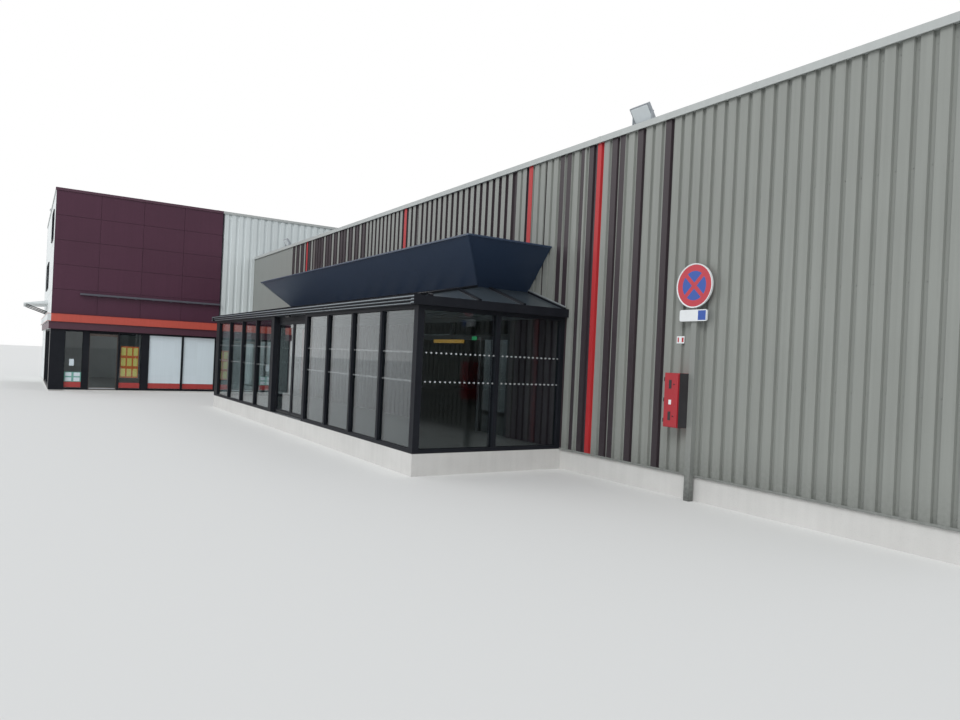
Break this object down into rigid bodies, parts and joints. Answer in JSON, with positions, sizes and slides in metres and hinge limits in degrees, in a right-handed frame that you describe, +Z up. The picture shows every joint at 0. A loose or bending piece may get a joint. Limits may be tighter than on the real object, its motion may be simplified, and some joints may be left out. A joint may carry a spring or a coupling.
{
  "type": "supermarket building",
  "caption": "Flat-roofed supermarket with ribbed striped walls, a glazed entrance vestibule under a leaning sign box, and a taller shop wing.",
  "frame": {"origin": "on the ground under the middle of the overall box", "axes": "+X to the right along the hall front wall as seen from outside, +Y into the building, +Z up"},
  "size_m": [39.86, 30.46, 8.0642],
  "materials": {
    "capping": "satin",
    "concrete": "plain cast concrete",
    "dark_frame": "satin powder coat",
    "glass": "clear, slightly green",
    "lamp_grey": "satin",
    "maroon_panel": "satin",
    "orange_band": "satin",
    "red_cabinet": "gloss",
    "ribbed_beige": "satin, with dark and red painted planks",
    "ribbed_white": "satin",
    "roof_membrane": "matt membrane",
    "roof_sheet": "satin",
    "sign_blue": "gloss",
    "sign_navy": "satin",
    "sign_white": "gloss",
    "smooth_beige": "satin",
    "white_panel": "satin"
  },
  "bodies": {
    "building": {"end_canopy": "white_panel", "end_glazing_frame": "dark_frame", "end_glazing_glass": "glass", "floodlight_left": "lamp_grey", "floodlight_right": "lamp_grey", "floodlight_wing": "lamp_grey", "hall_back_wall": "ribbed_beige", "hall_base": "concrete", "hall_capping": "capping", "hall_front_wall_left": "ribbed_beige", "hall_front_wall_over_entrance": "ribbed_beige", "hall_front_wall_right": "ribbed_beige", "hall_front_wall_smooth": "smooth_beige", "hall_right_wall": "ribbed_beige", "hall_roof": "roof_membrane", "inner_entrance_frame": "dark_frame", "inner_entrance_glass": "glass", "shopfront_door_header": "dark_frame", "shopfront_left_frame": "dark_frame", "shopfront_left_glass": "glass", "shopfront_right_frame": "dark_frame", "shopfront_right_glass": "glass", "sign_box": "sign_navy", "sign_disc": "sign_blue", "sign_plate": "sign_white", "sign_post": "smooth_beige", "upper_window_frames": "dark_frame", "upper_window_glass": "glass", "vestibule_base": "concrete", "vestibule_door_header": "dark_frame", "vestibule_front_left_frame": "dark_frame", "vestibule_front_left_glass": "glass", "vestibule_front_right_frame": "dark_frame", "vestibule_front_right_glass": "glass", "vestibule_gutter": "dark_frame", "vestibule_left_side_frame": "dark_frame", "vestibule_left_side_glass": "glass", "vestibule_right_side_frame": "dark_frame", "vestibule_right_side_glass": "glass", "vestibule_roof": "roof_sheet", "vestibule_roof_seams": "roof_sheet", "wall_cabinet": "red_cabinet", "wing_back_wall": "ribbed_white", "wing_base": "concrete", "wing_capping": "capping", "wing_end_fascia": "white_panel", "wing_end_wall": "white_panel", "wing_front_fascia": "orange_band", "wing_front_wall": "maroon_panel", "wing_inner_wall": "ribbed_white", "wing_light_rail": "lamp_grey", "wing_outer_wall": "ribbed_white", "wing_roof": "roof_membrane"},
    "left_leaf": {"vestibule_door_left_leaf": "dark_frame", "vestibule_door_left_glass": "glass"},
    "right_leaf": {"vestibule_door_right_leaf": "dark_frame", "vestibule_door_right_glass": "glass"},
    "shop_leaf": {"shopfront_door_leaf": "dark_frame", "shopfront_door_glass": "glass"}
  },
  "joints": [
    {"name": "left_leaf_slide", "type": "slide", "parent": "building", "child": "left_leaf", "axis": [-1, 0, 0], "range_m": [0, 1.14]},
    {"name": "right_leaf_slide", "type": "slide", "parent": "building", "child": "right_leaf", "axis": [1, 0, 0], "range_m": [0, 1.14]},
    {"name": "shop_leaf_slide", "type": "slide", "parent": "building", "child": "shop_leaf", "axis": [0, 1, 0], "range_m": [0, 1]}
  ],
  "couplings": [
    {"joint": "right_leaf_slide", "follows": "left_leaf_slide", "ratio": 1}
  ]
}
